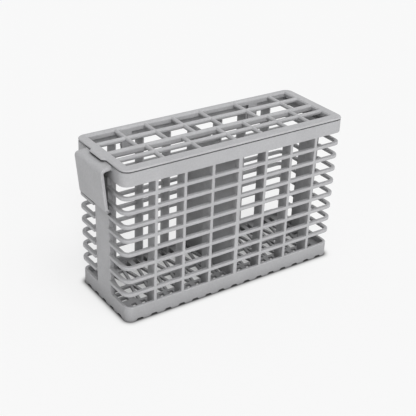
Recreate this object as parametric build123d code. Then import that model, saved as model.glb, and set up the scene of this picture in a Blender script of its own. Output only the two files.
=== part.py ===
from build123d import *
import os

# Dishwasher cutlery basket: a moulded lattice tub with a hook handle, and the loose grid in its rim.
# Millimetres, +Z up. X runs along the basket with the hook at -X, and the front long wall is at -Y.
# The pieces are drawn about the middle of the tub, and moved at the end so that the origin lies under
# the middle of the whole part.

# Tub outline
rim_length = 240.0
wall_width = 84.0
tub_height = 147.6
end_taper = 3.0
corner_radius = 8.0

# Rim band and the shadow step under the lid
rim_band_height = 13.9
rim_thickness = 3.0
rim_step_height = 1.0
rim_step_depth = 1.2

# Foot band and its scallops
foot_band_height = 14.4
foot_corner_radius = 6.5
foot_thickness = 3.0
scallop_width = 8.6
scallop_crown = 4.4
scallop_rise = 2.1
scallops_front = 15
scallop_front_pitch = 14.7
scallops_end = 5
scallop_end_pitch = 14.0

# Rungs, upright bars and their fins
rung_count = 8
rung_pitch = 13.52
rung_height = 3.1
rung_depth = 3.8
lowest_rung = 27.6
bar_count = 7
bar_pitch = 29.05
bar_width = 3.0
fin_tip_width = 1.6
fin_depth = 13.0
fin_top = 139.0
centre_bar_width = 4.2
centre_fin_depth = 8.0

# Cross partition
partition_thickness = 2.6
partition_top = 137.0

# Open floor
floor_bottom = 6.0
floor_thickness = 2.6
slot_width = 4.6
slot_length = 9.5
slot_wall_margin = 5.0
floor_rib = 3.0
truss_spine = 3.2
truss_rib = 2.5
truss_cells = 14
end_slot_count = 6
end_slot_pitch = 7.4
end_slot_length = 7.4
end_slot_margin = 6.3

# Straps up the middle of the two ends, set in a little from the outside of the rungs
strap_width = 24.8
strap_set_in = 1.6
hook_strap_thickness = 4.4
far_strap_thickness = 3.2

# Hook handle, from the strap it leaves to the ledge that joins the rim
hook_width = 46.8
hook_thickness = 3.0
hook_root = 96.5
hook_knee = 106.0
hook_knee_reach = 7.2
hook_top = 146.4
hook_top_reach = 10.8
ledge_fall = 1.6
hook_root_radius = 4.0
hook_knee_radius = 3.0
hook_bend_radius = 4.5
hook_corner_radius = 4.0

# Lid grid
lid_side_overhang = 0.6
lid_end_set_back = 0.3
lid_edge_height = 1.6
lid_edge_chamfer = 0.8
skirt_depth = 5.4
skirt_thickness = 2.2
skirt_clearance = 0.4
cell_end_margin = 9.8
cell_front_margin = 10.6
long_bar_width = 4.8
long_bar_depth = 3.4
middle_bar_width = 5.4
middle_bar_depth = 6.6
middle_bar_chamfer = 1.7
rear_bar_y = 18.9
middle_bar_y = -1.9
front_bar_y = -17.3
cross_bar_width = 4.2
rear_cross_x = (-82.0, -51.5, -22.0, 8.5, 49.0, 90.5)
front_cross_x = (-75.0, -37.5, 0.0, 29.0, 58.0, 84.0)
cell_edge_chamfer = 1.4
tab_outer_width = 20.4
tab_reach = 3.0

# Snap lugs that hang from the lid's rear skirt and catch under the rim band
lug_x = 71.2
lug_width = 11.0
lug_bottom = 127.0
lug_nib = 1.0
lug_nib_height = 3.0
lug_clearance = 0.4

# Derived positions
wall_half = wall_width / 2
rim_half = rim_length / 2
rim_bottom = tub_height - rim_band_height
floor_top = floor_bottom + floor_thickness
slot_outer_y = wall_half - slot_wall_margin
slot_inner_y = slot_outer_y - slot_length
truss_inner_y = truss_spine / 2
truss_outer_y = slot_inner_y - floor_rib
lid_length = rim_length - 2 * lid_end_set_back
lid_width = wall_width + 2 * lid_side_overhang
lid_top = tub_height + lid_edge_height
skirt_bottom = lid_top - skirt_depth
cells_half_length = rim_half - cell_end_margin
cells_rear_y = wall_half - rim_thickness - skirt_clearance - skirt_thickness
cells_front_y = cell_front_margin - wall_half
bar_xs = [bar_pitch * (i - (bar_count - 1) / 2) for i in range(bar_count)]


def half_length(z):
    """Half length of the tub at a height, with the taper of its ends."""
    return rim_half - end_taper * (1 - z / tub_height)


foot_half = half_length(foot_band_height) - strap_set_in
end_slot_outer_x = foot_half - end_slot_margin
end_slot_inner_x = end_slot_outer_x - end_slot_length


def block(x0, x1, y0, y1, z0, z1):
    """Box between two corners."""
    return Pos((x0 + x1) / 2, (y0 + y1) / 2, (z0 + z1) / 2) * Box(x1 - x0, y1 - y0, z1 - z0)


def loop(half_x, half_y, radius, depth, z0, z1):
    """Closed band with rounded plan corners between two heights."""
    outer = RectangleRounded(2 * half_x, 2 * half_y, radius)
    inner = RectangleRounded(2 * (half_x - depth), 2 * (half_y - depth), radius - depth)
    return Pos(0, 0, z0) * extrude(outer - inner, z1 - z0)


def rungs():
    """The closed loops, each as long as the tapered tub is at its height."""
    made = []
    for i in range(rung_count):
        low = lowest_rung + i * rung_pitch - rung_height / 2
        half_x = half_length(low + rung_height / 2)
        made.append(loop(half_x, wall_half, corner_radius, rung_depth, low, low + rung_height))
    return made


def bar(x, side, width, tip, depth):
    """Upright bar on one long wall, drawn in to the thinner edge of its fin."""
    outer = side * wall_half
    inner = side * (wall_half - depth)
    points = [
        (x - width / 2, outer),
        (x + width / 2, outer),
        (x + width / 2, outer - side * rung_depth),
        (x + tip / 2, inner),
        (x - tip / 2, inner),
        (x - width / 2, outer - side * rung_depth),
    ]
    face = make_face(Polyline(*points, close=True))
    return Pos(0, 0, floor_bottom) * extrude(face, fin_top - floor_bottom)


def bars():
    """Bars on both long walls, and the partition that joins the two middle ones."""
    made = []
    for x in bar_xs:
        for side in (-1, 1):
            if abs(x) < bar_pitch / 2:
                made.append(bar(x, side, centre_bar_width, partition_thickness, centre_fin_depth))
            else:
                made.append(bar(x, side, bar_width, fin_tip_width, fin_depth))
    half = partition_thickness / 2
    reach = wall_half - rung_depth
    made.append(block(-half, half, -reach, reach, floor_bottom, partition_top))
    return made


def floor():
    """Floor plate with slots along the walls and a zigzag of ribs in the middle."""
    sheet = RectangleRounded(2 * foot_half - foot_thickness, wall_width - foot_thickness,
                             foot_corner_radius - foot_thickness / 2)
    openings = []
    slot_step = bar_pitch / 3
    slot_y = (slot_inner_y + slot_outer_y) / 2
    slot_reach = int((end_slot_outer_x - slot_width / 2) / slot_step)
    for i in range(-slot_reach, slot_reach):
        for side in (-1, 1):
            place = Pos((i + 0.5) * slot_step, side * slot_y)
            openings.append(place * Rectangle(slot_width, slot_length))
    end_slot_x = (end_slot_inner_x + end_slot_outer_x) / 2
    end_slot = Rectangle(end_slot_length, slot_width)
    for i in range(end_slot_count):
        y = end_slot_pitch * (i - (end_slot_count - 1) / 2)
        for side in (-1, 1):
            openings.append(Pos(side * end_slot_x, y) * end_slot)
    pitch = bar_pitch / 2
    half = pitch / 2 - truss_rib
    for side in (-1, 1):
        near = side * truss_inner_y
        far = side * truss_outer_y
        for i in range(truss_cells):
            x = pitch * (i - (truss_cells - 1) / 2)
            openings.append(make_face(Polyline((x - half, near), (x + half, near), (x, far), close=True)))
        for i in range(truss_cells - 1):
            x = pitch * (i - (truss_cells - 2) / 2)
            openings.append(make_face(Polyline((x - half, far), (x + half, far), (x, near), close=True)))
    return Pos(0, 0, floor_bottom) * extrude(sheet - openings, floor_thickness)


def strap(side, set_in, thickness, z0, z1):
    """Strap up the middle of one end, following the taper of the tub."""
    points = [
        (side * (half_length(z0) - set_in), z0),
        (side * (half_length(z1) - set_in), z1),
        (side * (half_length(z1) - set_in - thickness), z1),
        (side * (half_length(z0) - set_in - thickness), z0),
    ]
    face = make_face(Polyline(*points, close=True))
    return extrude(Plane.XZ * face, strap_width / 2, both=True)


def hook():
    """Plate that leaves the strap, widens through slanted shoulders and rolls over into the rim."""
    start = hook_root - 3 * hook_root_radius
    run = FilletPolyline(
        (-half_length(start) + strap_set_in, start),
        (-half_length(hook_root) + strap_set_in, hook_root),
        (-half_length(hook_knee) - hook_knee_reach, hook_knee),
        (-rim_half - hook_top_reach, hook_top - ledge_fall),
        (-rim_half + rim_thickness / 2, hook_top),
        radius=(hook_root_radius, hook_knee_radius, hook_bend_radius),
    )
    section = make_face(offset(run, amount=hook_thickness, side=Side.RIGHT))
    plate = extrude(Plane.XZ * section, hook_width / 2, both=True)
    wide = hook_width / 2
    narrow = strap_width / 2
    edge = [
        (-narrow, start),
        (narrow, start),
        (narrow, hook_root),
        (wide, hook_knee),
        (wide, hook_top),
        (-wide, hook_top),
        (-wide, hook_knee),
        (-narrow, hook_root),
    ]
    face = make_face(Polyline(*edge, close=True))
    top_corners = face.vertices().group_by(Axis.Y)[-1]
    face = fillet(top_corners, hook_corner_radius)
    outline = Pos(-rim_half - 2 * hook_top_reach, 0, 0) * extrude(Plane.YZ * face, 4 * hook_top_reach)
    return plate & outline


def scallops():
    """Slant-sided cutters for the lower edge of the foot, on the long walls and on the ends."""
    points = [
        (-scallop_width / 2 - scallop_rise, -scallop_rise),
        (-scallop_width / 2, 0),
        (-scallop_crown / 2, scallop_rise),
        (scallop_crown / 2, scallop_rise),
        (scallop_width / 2, 0),
        (scallop_width / 2 + scallop_rise, -scallop_rise),
    ]
    face = make_face(Polyline(*points, close=True))
    along_y = extrude(Plane.XZ * face, wall_width, both=True)
    along_x = extrude(Plane.YZ * face, rim_length, both=True)
    made = []
    for i in range(scallops_front):
        made.append(Pos(scallop_front_pitch * (i - (scallops_front - 1) / 2), 0, 0) * along_y)
    for i in range(scallops_end):
        made.append(Pos(0, scallop_end_pitch * (i - (scallops_end - 1) / 2), 0) * along_x)
    return made


def basket():
    """The tub as one moulding."""
    foot = loop(foot_half, wall_half, foot_corner_radius, foot_thickness, 0, foot_band_height) - scallops()
    rim = loop(rim_half, wall_half, corner_radius, rim_thickness, rim_bottom, tub_height)
    step_bottom = tub_height - rim_step_height
    rim -= loop(rim_half, wall_half, corner_radius, rim_step_depth, step_bottom, tub_height)
    lattice = foot + [floor(), rim] + bars() + rungs()
    for side, thickness in ((-1, hook_strap_thickness), (1, far_strap_thickness)):
        lattice -= strap(side, -rung_depth, rung_depth + strap_set_in, foot_band_height, rim_bottom)
        lattice += strap(side, strap_set_in, thickness, floor_top, rim_bottom + rim_thickness)
    return lattice + hook()


def cell_rows():
    """The four rows of the grid as low and high edges, with the cross bars each row meets."""
    rear_low = rear_bar_y - long_bar_width / 2
    rear_high = rear_bar_y + long_bar_width / 2
    middle_low = middle_bar_y - middle_bar_width / 2
    middle_high = middle_bar_y + middle_bar_width / 2
    front_low = front_bar_y - long_bar_width / 2
    front_high = front_bar_y + long_bar_width / 2
    return [
        (rear_high, cells_rear_y, rear_cross_x),
        (middle_high, rear_low, rear_cross_x),
        (front_high, middle_low, front_cross_x),
        (cells_front_y, front_low, front_cross_x),
    ]


def cells():
    """Every cell of the grid as (x0, x1, y0, y1)."""
    made = []
    for y0, y1, crosses in cell_rows():
        edges = [-cells_half_length]
        for x in crosses:
            edges += [x - cross_bar_width / 2, x + cross_bar_width / 2]
        edges.append(cells_half_length)
        for k in range(0, len(edges), 2):
            made.append((edges[k], edges[k + 1], y0, y1))
    return made


def lug(x):
    """Snap lug in line with the rear skirt, with a ramped nib under the rim band."""
    inner = cells_rear_y
    outer = cells_rear_y + skirt_thickness
    catch = rim_bottom - lug_clearance
    points = [
        (inner, skirt_bottom + 1),
        (inner, lug_bottom),
        (outer, lug_bottom),
        (outer, catch - lug_nib_height),
        (outer + lug_nib, catch - lug_nib_height / 3),
        (outer + lug_nib, catch),
        (outer, catch),
        (outer, skirt_bottom + 1),
    ]
    face = make_face(Polyline(*points, close=True))
    return Pos(x - lug_width / 2, 0, 0) * extrude(Plane.YZ * face, lug_width)


def middle_bar():
    """The deeper bar along the grid, narrowed towards its lower edge."""
    half = middle_bar_width / 2
    top = lid_top - cell_edge_chamfer
    low = lid_top - middle_bar_depth
    points = [
        (middle_bar_y - half, top),
        (middle_bar_y - half, low + middle_bar_chamfer),
        (middle_bar_y - half + middle_bar_chamfer, low),
        (middle_bar_y + half - middle_bar_chamfer, low),
        (middle_bar_y + half, low + middle_bar_chamfer),
        (middle_bar_y + half, top),
    ]
    face = make_face(Polyline(*points, close=True))
    return Pos(-cells_half_length, 0, 0) * extrude(Plane.YZ * face, 2 * cells_half_length)


def lid_grid():
    """The loose grid: edge plate with a finger tab, skirt, lugs, long bars and cross bars."""
    half_x = lid_length / 2
    edge = RectangleRounded(lid_length, lid_width, corner_radius)
    wide = tab_outer_width / 2
    tab = [
        (-half_x + 1, -wide - tab_reach - 1),
        (-half_x - tab_reach, -wide),
        (-half_x - tab_reach, wide),
        (-half_x + 1, wide + tab_reach + 1),
    ]
    edge += make_face(Polyline(*tab, close=True))
    plate = Pos(0, 0, tub_height) * extrude(edge, lid_edge_height)
    rims = plate.faces().sort_by(Axis.Z)[-1].outer_wire().edges()
    plate = chamfer(rims, lid_edge_chamfer)
    skirt_x = cells_half_length + skirt_thickness
    skirt_rear = cells_rear_y + skirt_thickness
    skirt_front = cells_front_y - skirt_thickness
    body = plate + block(-skirt_x, skirt_x, skirt_front, skirt_rear, skirt_bottom, tub_height + 0.5)
    hollow = block(-cells_half_length, cells_half_length, cells_front_y, cells_rear_y,
                   skirt_bottom, lid_top - long_bar_depth)
    body = body - hollow + [middle_bar(), lug(-lug_x), lug(lug_x)]
    cuts = []
    for x0, x1, y0, y1 in cells():
        cuts.append(block(x0, x1, y0, y1, skirt_bottom - 1, lid_top + 1))
        top = Rectangle(x1 - x0 + 2 * cell_edge_chamfer, y1 - y0 + 2 * cell_edge_chamfer)
        low = Rectangle(x1 - x0, y1 - y0)
        place = Pos((x0 + x1) / 2, (y0 + y1) / 2)
        cuts.append(loft([
            place * Pos(0, 0, lid_top - cell_edge_chamfer) * low,
            place * Pos(0, 0, lid_top) * top,
        ], ruled=True))
    return body - cuts


tub = basket()
to_origin = Pos(-tub.bounding_box().center().X, 0, 0)
pieces = {"basket": to_origin * tub, "lid_grid": to_origin * lid_grid()}

os.makedirs("parts", exist_ok=True)
for name, shape in pieces.items():
    export_step(shape, f"parts/{name}.step")
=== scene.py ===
import math

import bpy
from bpy.props import FloatProperty, FloatVectorProperty, IntProperty, PointerProperty
from mathutils import Matrix, Vector

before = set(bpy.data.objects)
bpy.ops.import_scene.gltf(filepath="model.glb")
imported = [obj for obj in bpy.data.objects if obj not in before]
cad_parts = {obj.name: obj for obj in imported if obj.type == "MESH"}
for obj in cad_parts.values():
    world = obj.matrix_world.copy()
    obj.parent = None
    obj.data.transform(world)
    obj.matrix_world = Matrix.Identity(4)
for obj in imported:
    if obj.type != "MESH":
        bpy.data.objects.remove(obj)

bl_info = {
    "name": "Cutlery basket",
    "version": (1, 0, 0),
    "blender": (4, 5, 0),
    "location": "View3D > Sidebar > Basket",
    "description": "Dresses the moulded cutlery basket and its lid grid, and sets their stage",
    "category": "Object",
}

MM = 0.001

# Softened edges. The fine work of the tub's floor takes a share of the tub's radius.
WELD_REACH = 0.02 * MM
BENT_EDGE = math.radians(40.0)
FLOOR_WORK_TOP = 8.7 * MM
FLOOR_WORK_BLEND = 0.5 * MM
FLOOR_WORK_SHARE = 0.3

# Noise patterns: scale, detail and roughness. NOISE_ENDS are the levels noise mostly keeps between.
DRIFT_NOISE = (34.0, 4.0, 0.55)
MOTTLE_NOISE = (620.0, 2.0, 0.5)
SHEEN_NOISE = (1.0, 3.0, 0.5)
GRAIN_NOISE = (1400.0, 2.0, 0.5)
FLOOR_NOISE = (2.0, 2.0, 0.5)
NOISE_ENDS = (0.3, 0.7)

# Tone of the plastic. DRIFT and MOTTLE are steps to both sides of 1, the other tones are factors.
# A point counts as an edge by how far a rounded normal agrees with its own, from 0 to 1, and as
# part of a recess by how much is open round it, from 0 to 1.
DRIFT = 0.045
MOTTLE = 0.06
# Painted highlight: the EDGE values below lighten the colour on edges.
EDGE_HIGHLIGHT_TONE = 1.12
EDGE_REACH = 0.9 * MM
EDGE_SAMPLES = 4
EDGE_BENT = 0.75
EDGE_FLAT = 0.98
# Painted shade: the RECESS and CREASE values below darken the colour in recesses and creases.
RECESS_SHADE_TONE = 0.60
RECESS_REACH = 40.0 * MM
RECESS_OPEN = 0.90
CREASE_SHADE_TONE = 0.42
CREASE_REACH = 5.0 * MM
CREASE_OPEN = 0.70
CLOSED_IN = 0.30
RECESS_SAMPLES = 8

# Gloss and surface of the plastic.
PLASTIC_IOR = 1.49
PLASTIC_SPECULAR = 0.35
SHEEN_STRETCH = (60.0, 60.0, 210.0)
SHEEN_ROUGHNESS = (0.42, 0.60)
GRAIN_STRENGTH = 0.12
GRAIN_DEPTH = 0.1 * MM

# Floor of the stage, and its shadow under and round the foot. FOOT_EDGE and FOOT_WALL are insets
# from the foot's outline, between which each share rises.
FLOOR_HALF_SIZE = 6.0
FLOOR_DROP = 0.05 * MM
FLOOR_ROUGHNESS = 0.9
FLOOR_DRIFT = 0.995
FOOT_LAYER = 0.1 * MM
FOOT_CORNER = 6.5 * MM
FOOT_EDGE = (0.3 * MM, 1.3 * MM)
FOOT_WALL = (10.0 * MM, 6.0 * MM)
# Painted shadow: the CONTACT values below darken the floor's colour round the foot.
CONTACT_REACH = 10.0 * MM
CONTACT_FADE = 2.0
CONTACT_SHADOW_TONE = 0.10
UNDER_TUB_SHARE = 0.65

# Lamps: bearing from the front of the long wall, height above the horizon, and spread.
HIGH_KEY = (math.radians(0.0), math.radians(65.0), math.radians(28.0))
LOW_KEY = (math.radians(-25.0), math.radians(36.0), math.radians(12.0))

# Camera: side of the picture in pixels, width of the sensor in millimetres, and depth of the view.
IMAGE_SIZE = 416
SENSOR_WIDTH = 36.0
VIEW_DEPTH = 20.0


class TubSettings(bpy.types.PropertyGroup):
    """Finish of the lattice tub."""

    edge_radius: FloatProperty(
        name="Edge radius", description="Softening of the moulded edges of rungs, bars and bands",
        default=0.6 * MM, min=0.0, unit="LENGTH")
    edge_segments: IntProperty(
        name="Edge segments", description="Steps across each softened edge",
        default=2, min=1, max=4)
    tone: FloatVectorProperty(
        name="Tone", description="Grey of the moulded plastic",
        default=(0.384, 0.384, 0.393), size=3, subtype="COLOR", min=0.0, max=1.0)


class LidSettings(bpy.types.PropertyGroup):
    """Finish of the loose lid grid."""

    edge_radius: FloatProperty(
        name="Edge radius", description="Softening of the edges of the lid's bars",
        default=0.5 * MM, min=0.0, unit="LENGTH")
    edge_segments: IntProperty(
        name="Edge segments", description="Steps across each softened edge",
        default=3, min=1, max=4)
    tone: FloatVectorProperty(
        name="Tone", description="Grey of the lid's plastic",
        default=(0.394, 0.394, 0.403), size=3, subtype="COLOR", min=0.0, max=1.0)


class StageSettings(bpy.types.PropertyGroup):
    """Floor, light and camera."""

    camera_target: FloatVectorProperty(
        name="Target", description="Point the camera's axis passes through",
        default=(7.80 * MM, 11.81 * MM, 101.12 * MM), size=3,
        subtype="TRANSLATION", unit="LENGTH")
    camera_azimuth: FloatProperty(
        name="Azimuth", description="Turn of the camera from straight in front of the long wall",
        default=math.radians(-35.599), subtype="ANGLE")
    camera_elevation: FloatProperty(
        name="Elevation", description="Height of the camera above the horizon",
        default=math.radians(25.613), subtype="ANGLE")
    camera_roll: FloatProperty(
        name="Roll", description="Turn of the camera about its own axis",
        default=math.radians(2.398), subtype="ANGLE")
    camera_distance: FloatProperty(
        name="Distance", description="From the target to the camera",
        default=867.2 * MM, unit="LENGTH")
    focal_pixels: FloatProperty(
        name="Focal length", description="Focal length in pixels of the square picture",
        default=920.65)
    shift_pixels: FloatProperty(
        name="Shift", description="Shift of the view in pixels, where below 0 lifts the part",
        default=-40.0)
    background: FloatProperty(
        name="Background", description="Level of the pale background, where 1 is white",
        default=0.947, min=0.0, max=1.0)
    floor_tone: FloatVectorProperty(
        name="Floor", description="Colour of the floor",
        default=(0.92, 0.92, 0.92), size=3, subtype="COLOR", min=0.0, max=1.0)
    floor_shadow: FloatProperty(
        name="Floor shadow", description="Share of the floor's own shading that the picture keeps",
        default=0.20, min=0.0, max=1.0, subtype="FACTOR")
    floor_glow: FloatProperty(
        name="Floor level", description="Level of the floor's even share in the picture",
        default=0.918, min=0.0)
    sky_strength: FloatProperty(
        name="Sky", description="Level of the even light from all round",
        default=0.58, min=0.0)
    sky_front: FloatProperty(
        name="Front sky", description="How much brighter the sky is in front of the long wall",
        default=0.35)
    sky_end: FloatProperty(
        name="End sky", description="How much darker the sky is off the hook end",
        default=0.25)
    high_key: FloatProperty(
        name="High key", description="Strength of the broad light high in front",
        default=1.20, min=0.0)
    low_key: FloatProperty(
        name="Low key", description="Strength of the smaller light beside the camera",
        default=0.95, min=0.0)


def link(tree, source, target):
    """Join two sockets of a node tree."""
    tree.links.new(source, target)


def number_step(tree, operation, first, second):
    """Socket with one step of arithmetic, where the second value may be a constant."""
    step = tree.nodes.new("ShaderNodeMath")
    step.operation = operation
    link(tree, first, step.inputs[0])
    if isinstance(second, float):
        step.inputs[1].default_value = second
    else:
        link(tree, second, step.inputs[1])
    return step.outputs["Value"]


def vector_step(tree, operation, first, second=None):
    """Socket with one step of vector arithmetic, where the second value is a constant."""
    step = tree.nodes.new("ShaderNodeVectorMath")
    step.operation = operation
    link(tree, first, step.inputs[0])
    if second is not None:
        step.inputs[1].default_value = second
    return step.outputs["Value" if operation == "LENGTH" else "Vector"]


def parts_of(tree, vector):
    """Sockets of a vector's parts by name."""
    parts = tree.nodes.new("ShaderNodeSeparateXYZ")
    link(tree, vector, parts.inputs["Vector"])
    return parts.outputs


def rescale(tree, value, start, end, low=0.0, high=1.0):
    """Socket that goes from low to high as a value goes from start to end, and stops there."""
    ramp = tree.nodes.new("ShaderNodeMapRange")
    ramp.inputs["From Min"].default_value = start
    ramp.inputs["From Max"].default_value = end
    ramp.inputs["To Min"].default_value = low
    ramp.inputs["To Max"].default_value = high
    link(tree, value, ramp.inputs["Value"])
    return ramp.outputs["Result"]


def noise(tree, place, pattern):
    """Socket with a noise pattern over a place."""
    cloud = tree.nodes.new("ShaderNodeTexNoise")
    for name, value in zip(("Scale", "Detail", "Roughness"), pattern):
        cloud.inputs[name].default_value = value
    link(tree, place, cloud.inputs["Vector"])
    return cloud.outputs["Fac"]


def shades(tree, value, ends, tones):
    """Socket with a colour that goes between two tones as a value goes between two ends."""
    ramp = tree.nodes.new("ShaderNodeValToRGB")
    for element, end, tone in zip(ramp.color_ramp.elements, ends, tones):
        element.position = end
        element.color = (*tone, 1.0)
    link(tree, value, ramp.inputs["Fac"])
    return ramp.outputs["Color"]


def scaled(tone, factor):
    """A tone made lighter or darker by a plain number."""
    return [part * factor for part in tone]


def times(tree, colour, factor):
    """Socket with a colour made lighter or darker by a factor."""
    product = tree.nodes.new("ShaderNodeVectorMath")
    product.operation = "SCALE"
    link(tree, colour, product.inputs["Vector"])
    link(tree, factor, product.inputs["Scale"])
    return product.outputs["Vector"]


def fine_mottle(tree, place):
    """Factor for the fine cloudiness of filled plastic, a millimetre or two across."""
    return rescale(tree, noise(tree, place, MOTTLE_NOISE), *NOISE_ENDS, 1.0 - MOTTLE, 1.0 + MOTTLE)


def edge_highlight(tree):
    """Factor of painted highlight that lightens the edges of bars and bands."""
    rounded = tree.nodes.new("ShaderNodeBevel")
    rounded.samples = EDGE_SAMPLES
    rounded.inputs["Radius"].default_value = EDGE_REACH
    surface = tree.nodes.new("ShaderNodeNewGeometry")
    match = tree.nodes.new("ShaderNodeVectorMath")
    match.operation = "DOT_PRODUCT"
    link(tree, rounded.outputs["Normal"], match.inputs[0])
    link(tree, surface.outputs["Normal"], match.inputs[1])
    return rescale(tree, match.outputs["Value"], EDGE_BENT, EDGE_FLAT, EDGE_HIGHLIGHT_TONE, 1.0)


def recess_shade(tree, reach, open_from, tone):
    """Factor of painted shade that darkens the colour in recesses of about a given reach."""
    shelter = tree.nodes.new("ShaderNodeAmbientOcclusion")
    shelter.samples = RECESS_SAMPLES
    shelter.inputs["Distance"].default_value = reach
    return rescale(tree, shelter.outputs["AO"], CLOSED_IN, open_from, tone, 1.0)


def plastic_tone(tree, place, tone):
    """Colour of the plastic: drift of tone, fine mottle, a painted highlight on edges and painted
    shade in recesses.
    """
    drift = (scaled(tone, 1.0 - DRIFT), scaled(tone, 1.0 + DRIFT))
    colour = shades(tree, noise(tree, place, DRIFT_NOISE), NOISE_ENDS, drift)
    colour = times(tree, colour, fine_mottle(tree, place))
    colour = times(tree, colour, edge_highlight(tree))
    colour = times(tree, colour, recess_shade(tree, RECESS_REACH, RECESS_OPEN, RECESS_SHADE_TONE))
    return times(tree, colour, recess_shade(tree, CREASE_REACH, CREASE_OPEN, CREASE_SHADE_TONE))


def plastic_sheen(tree, place):
    """Roughness of the plastic, uneven in streaks that lie level."""
    streaks = tree.nodes.new("ShaderNodeMapping")
    streaks.inputs["Scale"].default_value = SHEEN_STRETCH
    link(tree, place, streaks.inputs["Vector"])
    sheen = noise(tree, streaks.outputs["Vector"], SHEEN_NOISE)
    return rescale(tree, sheen, 0.0, 1.0, *SHEEN_ROUGHNESS)


def mould_grain(tree, place):
    """Normal of the plastic, with the fine grain of the mould."""
    bump = tree.nodes.new("ShaderNodeBump")
    bump.inputs["Strength"].default_value = GRAIN_STRENGTH
    bump.inputs["Distance"].default_value = GRAIN_DEPTH
    link(tree, noise(tree, place, GRAIN_NOISE), bump.inputs["Height"])
    return bump.outputs["Normal"]


def moulded_plastic(name, tone):
    """Satin moulded plastic in a tone of grey."""
    material = bpy.data.materials.new(name)
    material.use_nodes = True
    tree = material.node_tree
    shader = tree.nodes["Principled BSDF"]
    shader.inputs["IOR"].default_value = PLASTIC_IOR
    shader.inputs["Specular IOR Level"].default_value = PLASTIC_SPECULAR
    place = tree.nodes.new("ShaderNodeTexCoord").outputs["Object"]
    link(tree, plastic_tone(tree, place, tone), shader.inputs["Base Color"])
    link(tree, plastic_sheen(tree, place), shader.inputs["Roughness"])
    link(tree, mould_grain(tree, place), shader.inputs["Normal"])
    return material


def soft_edge_marks(fine_below):
    """Node group that marks how far each bent edge is softened, less so below a height."""
    group = bpy.data.node_groups.new("soft_edge_marks", "GeometryNodeTree")
    for side in ("INPUT", "OUTPUT"):
        group.interface.new_socket("Geometry", in_out=side, socket_type="NodeSocketGeometry")
    start = group.nodes.new("NodeGroupInput")
    end = group.nodes.new("NodeGroupOutput")
    bend = group.nodes.new("GeometryNodeInputMeshEdgeAngle")
    share = number_step(group, "GREATER_THAN", bend.outputs["Unsigned Angle"], BENT_EDGE)
    if fine_below is not None:
        place = group.nodes.new("GeometryNodeInputPosition")
        height = parts_of(group, place.outputs["Position"])["Z"]
        blend_end = fine_below + FLOOR_WORK_BLEND
        part = rescale(group, height, fine_below, blend_end, FLOOR_WORK_SHARE, 1.0)
        share = number_step(group, "MULTIPLY", share, part)
    mark = group.nodes.new("GeometryNodeStoreNamedAttribute")
    mark.data_type = "FLOAT"
    mark.domain = "EDGE"
    mark.inputs["Name"].default_value = "bevel_weight_edge"
    link(group, start.outputs["Geometry"], mark.inputs["Geometry"])
    link(group, share, mark.inputs["Value"])
    link(group, mark.outputs["Geometry"], end.inputs["Geometry"])
    return group


def soften(node, settings, fine_below=None):
    """Round the moulded edges of a CAD node with modifiers, leaving its mesh as it is."""
    weld = node.modifiers.new("Join facets", "WELD")
    weld.merge_threshold = WELD_REACH
    marks = node.modifiers.new("Mark edges", "NODES")
    marks.node_group = soft_edge_marks(fine_below)
    edge = node.modifiers.new("Soft edges", "BEVEL")
    edge.width = settings.edge_radius
    edge.segments = settings.edge_segments
    edge.limit_method = "WEIGHT"
    edge.use_clamp_overlap = False
    edge.loop_slide = False
    normals = node.modifiers.new("Even shading", "WEIGHTED_NORMAL")
    normals.keep_sharp = True


def dress(node, material):
    """Give every face of a CAD node one material."""
    node.data.materials.clear()
    node.data.materials.append(material)


class BASKET_OT_tub(bpy.types.Operator):
    """Soften the tub's edges and give it its plastic"""

    bl_idname = "basket.tub"
    bl_label = "Dress the tub"

    def execute(self, context):
        settings = context.scene.basket_tub
        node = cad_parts["basket"]
        soften(node, settings, fine_below=FLOOR_WORK_TOP)
        dress(node, moulded_plastic("tub_plastic", settings.tone))
        return {"FINISHED"}


class BASKET_OT_lid(bpy.types.Operator):
    """Soften the lid grid's edges and give it its plastic"""

    bl_idname = "basket.lid"
    bl_label = "Dress the lid grid"

    def execute(self, context):
        settings = context.scene.basket_lid
        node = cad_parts["lid_grid"]
        soften(node, settings)
        dress(node, moulded_plastic("lid_plastic", settings.tone))
        return {"FINISHED"}


def foot_outline():
    """Middle and half sizes of the foot where it stands on the floor."""
    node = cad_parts["basket"]
    points = [node.matrix_world @ vertex.co for vertex in node.data.vertices]
    ground = min(point.z for point in points)
    foot = [point for point in points if point.z - ground < FOOT_LAYER]
    low = Vector((min(point.x for point in foot), min(point.y for point in foot), 0.0))
    high = Vector((max(point.x for point in foot), max(point.y for point in foot), 0.0))
    return (low + high) / 2, (high - low) / 2


def foot_shares(tree, place):
    """Shares that are 1 under the whole foot, and 1 under its wall only, fading outwards, where the
    second one also places a painted shadow.
    """
    middle, half = foot_outline()
    from_middle = vector_step(tree, "ABSOLUTE", vector_step(tree, "SUBTRACT", place, middle))
    straight = half - Vector((FOOT_CORNER, FOOT_CORNER, 0.0))
    past = vector_step(tree, "SUBTRACT", from_middle, straight)
    outwards = vector_step(tree, "LENGTH", vector_step(tree, "MAXIMUM", past, Vector()))
    under = rescale(tree, outwards, *(FOOT_CORNER - inset for inset in FOOT_EDGE))
    parts = parts_of(tree, past)
    nearest = number_step(tree, "MAXIMUM", parts["X"], parts["Y"])
    wall = rescale(tree, nearest, *(FOOT_CORNER - inset for inset in FOOT_WALL))
    near = rescale(tree, outwards, FOOT_CORNER + CONTACT_REACH, FOOT_CORNER)
    faded = number_step(tree, "POWER", near, CONTACT_FADE)
    return under, number_step(tree, "MULTIPLY", faded, wall)


def camera_share(tree):
    """Socket that is 1 for rays from the camera, straight or by a gloss or a clear piece."""
    path = tree.nodes.new("ShaderNodeLightPath").outputs
    total = path["Is Camera Ray"]
    for name in ("Is Glossy Ray", "Is Transmission Ray"):
        total = number_step(tree, "MAXIMUM", total, path[name])
    return total


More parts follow.
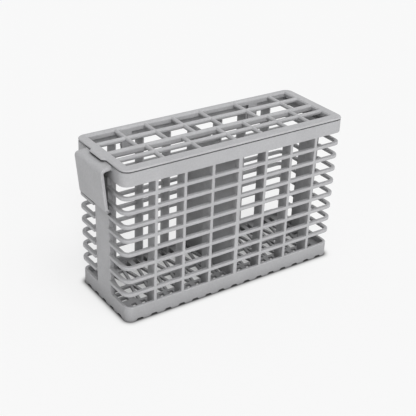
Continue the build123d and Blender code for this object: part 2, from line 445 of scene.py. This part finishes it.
def mix_shaders(tree, share, first, second):
    """Socket that goes from one shader to another by a share."""
    mix = tree.nodes.new("ShaderNodeMixShader")
    link(tree, share, mix.inputs["Fac"])
    link(tree, first, mix.inputs[1])
    link(tree, second, mix.inputs[2])
    return mix.outputs["Shader"]


def floor_paint(settings):
    """Plain pale floor that keeps a share of the basket's shadow where the camera sees it.

    Under the tub the share is larger, and close to the foot's wall a shadow is painted into the
    floor's colour.
    """
    material = bpy.data.materials.new("floor_paint")
    material.use_nodes = True
    tree = material.node_tree
    paint = tree.nodes["Principled BSDF"]
    paint.inputs["Roughness"].default_value = FLOOR_ROUGHNESS
    paint.inputs["Specular IOR Level"].default_value = 0.0
    place = tree.nodes.new("ShaderNodeTexCoord").outputs["Object"]
    drift = (scaled(settings.floor_tone, FLOOR_DRIFT), settings.floor_tone)
    pale = shades(tree, noise(tree, place, FLOOR_NOISE), (0.0, 1.0), drift)
    under, contact_shadow = foot_shares(tree, place)
    # Painted shadow: the floor's colour darkens close to the foot's wall.
    painted_shadow = rescale(tree, contact_shadow, 0.0, 1.0, 1.0, CONTACT_SHADOW_TONE)
    link(tree, times(tree, pale, painted_shadow), paint.inputs["Base Color"])
    even = tree.nodes.new("ShaderNodeEmission")
    even.inputs["Strength"].default_value = settings.floor_glow
    kept = rescale(tree, under, 0.0, 1.0, settings.floor_shadow, UNDER_TUB_SHARE)
    kept = number_step(tree, "MAXIMUM", kept, contact_shadow)
    seen = mix_shaders(tree, kept, even.outputs["Emission"], paint.outputs["BSDF"])
    surface = mix_shaders(tree, camera_share(tree), paint.outputs["BSDF"], seen)
    link(tree, surface, tree.nodes["Material Output"].inputs["Surface"])
    return material


def add_floor(settings):
    """Large floor just below the plane that the foot stands on."""
    mesh = bpy.data.meshes.new("floor")
    signs = ((-1, -1), (1, -1), (1, 1), (-1, 1))
    points = [(x * FLOOR_HALF_SIZE, y * FLOOR_HALF_SIZE, 0.0) for x, y in signs]
    mesh.from_pydata(points, [], [(0, 1, 2, 3)])
    floor = bpy.data.objects.new("floor", mesh)
    floor.location.z = -FLOOR_DROP
    mesh.materials.append(floor_paint(settings))
    bpy.context.scene.collection.objects.link(floor)


def add_sky(settings):
    """Soft light from all round, stronger in front and weaker off the hook end."""
    world = bpy.data.worlds.new("studio")
    world.use_nodes = True
    tree = world.node_tree
    tree.nodes.clear()
    place = tree.nodes.new("ShaderNodeTexCoord").outputs["Generated"]
    parts = parts_of(tree, place)
    front = rescale(tree, parts["Y"], 0.0, -1.0, 0.0, settings.sky_front)
    end = rescale(tree, parts["X"], 0.0, -1.0, 0.0, settings.sky_end)
    level = number_step(tree, "ADD", front, settings.sky_strength)
    level = number_step(tree, "SUBTRACT", level, end)
    light = tree.nodes.new("ShaderNodeBackground")
    link(tree, level, light.inputs["Strength"])
    seen = tree.nodes.new("ShaderNodeBackground")
    seen.inputs["Strength"].default_value = settings.background
    for shader in (light, seen):
        shader.inputs["Color"].default_value = (1.0, 1.0, 1.0, 1.0)
    ends = (light.outputs["Background"], seen.outputs["Background"])
    out = tree.nodes.new("ShaderNodeOutputWorld")
    link(tree, mix_shaders(tree, camera_share(tree), *ends), out.inputs["Surface"])
    bpy.context.scene.world = world


def bearing(turn, rise):
    """Direction at a turn from the front of the long wall and a rise above the horizon."""
    level = math.cos(rise)
    return Vector((math.sin(turn) * level, -math.cos(turn) * level, math.sin(rise)))


def add_lamp(name, placing, strength):
    """Far lamp that shines in from a bearing."""
    turn, rise, spread = placing
    data = bpy.data.lights.new(name, "SUN")
    data.angle = spread
    data.energy = strength
    lamp = bpy.data.objects.new(name, data)
    place = bearing(turn, rise)
    facing = (-place).to_track_quat("-Z", "Y")
    lamp.matrix_world = Matrix.LocRotScale(place, facing, None)
    bpy.context.scene.collection.objects.link(lamp)


def add_camera(settings):
    """Camera at the viewing angle of the picture."""
    back = bearing(settings.camera_azimuth, settings.camera_elevation)
    right = Vector((0.0, 0.0, 1.0)).cross(back).normalized()
    up = back.cross(right)
    cos_roll = math.cos(settings.camera_roll)
    sin_roll = math.sin(settings.camera_roll)
    side = right * cos_roll + up * sin_roll
    top = up * cos_roll - right * sin_roll
    data = bpy.data.cameras.new("camera")
    data.sensor_fit = "HORIZONTAL"
    data.sensor_width = SENSOR_WIDTH
    data.lens = SENSOR_WIDTH * settings.focal_pixels / IMAGE_SIZE
    data.shift_y = settings.shift_pixels / IMAGE_SIZE
    data.clip_end = VIEW_DEPTH
    camera = bpy.data.objects.new("camera", data)
    place = Vector(settings.camera_target) + back * settings.camera_distance
    facing = Matrix((side, top, back)).transposed()
    camera.matrix_world = Matrix.Translation(place) @ facing.to_4x4()
    bpy.context.scene.collection.objects.link(camera)
    bpy.context.scene.camera = camera


class BASKET_OT_stage(bpy.types.Operator):
    """Set the floor, the light and the camera"""

    bl_idname = "basket.stage"
    bl_label = "Set the stage"

    def execute(self, context):
        settings = context.scene.basket_stage
        context.scene.view_settings.view_transform = "Standard"
        add_floor(settings)
        add_sky(settings)
        add_lamp("high_key", HIGH_KEY, settings.high_key)
        add_lamp("low_key", LOW_KEY, settings.low_key)
        add_camera(settings)
        return {"FINISHED"}


class BASKET_PT_panel(bpy.types.Panel):
    """Sidebar panel with the steps and the values behind them"""

    bl_idname = "BASKET_PT_panel"
    bl_label = "Cutlery basket"
    bl_space_type = "VIEW_3D"
    bl_region_type = "UI"
    bl_category = "Basket"

    def draw(self, context):
        for operator, group in STEPS:
            box = self.layout.box()
            box.operator(operator)
            settings = getattr(context.scene, group)
            for name in settings.__annotations__:
                box.prop(settings, name)


STEPS = (
    ("basket.tub", "basket_tub"),
    ("basket.lid", "basket_lid"),
    ("basket.stage", "basket_stage"),
)
GROUPS = {
    "basket_tub": TubSettings,
    "basket_lid": LidSettings,
    "basket_stage": StageSettings,
}
CLASSES = (
    *GROUPS.values(),
    BASKET_OT_tub,
    BASKET_OT_lid,
    BASKET_OT_stage,
    BASKET_PT_panel,
)


def register():
    """Register the classes and hang the settings on the scene."""
    for cls in CLASSES:
        bpy.utils.register_class(cls)
    for name, group in GROUPS.items():
        setattr(bpy.types.Scene, name, PointerProperty(type=group))


def unregister():
    """Take the settings off the scene and unregister the classes."""
    for name in GROUPS:
        delattr(bpy.types.Scene, name)
    for cls in reversed(CLASSES):
        bpy.utils.unregister_class(cls)


def main():
    """Dress the pieces and set the stage."""
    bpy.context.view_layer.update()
    register()
    bpy.ops.basket.tub()
    bpy.ops.basket.lid()
    bpy.ops.basket.stage()


if __name__ == "__main__":
    main()
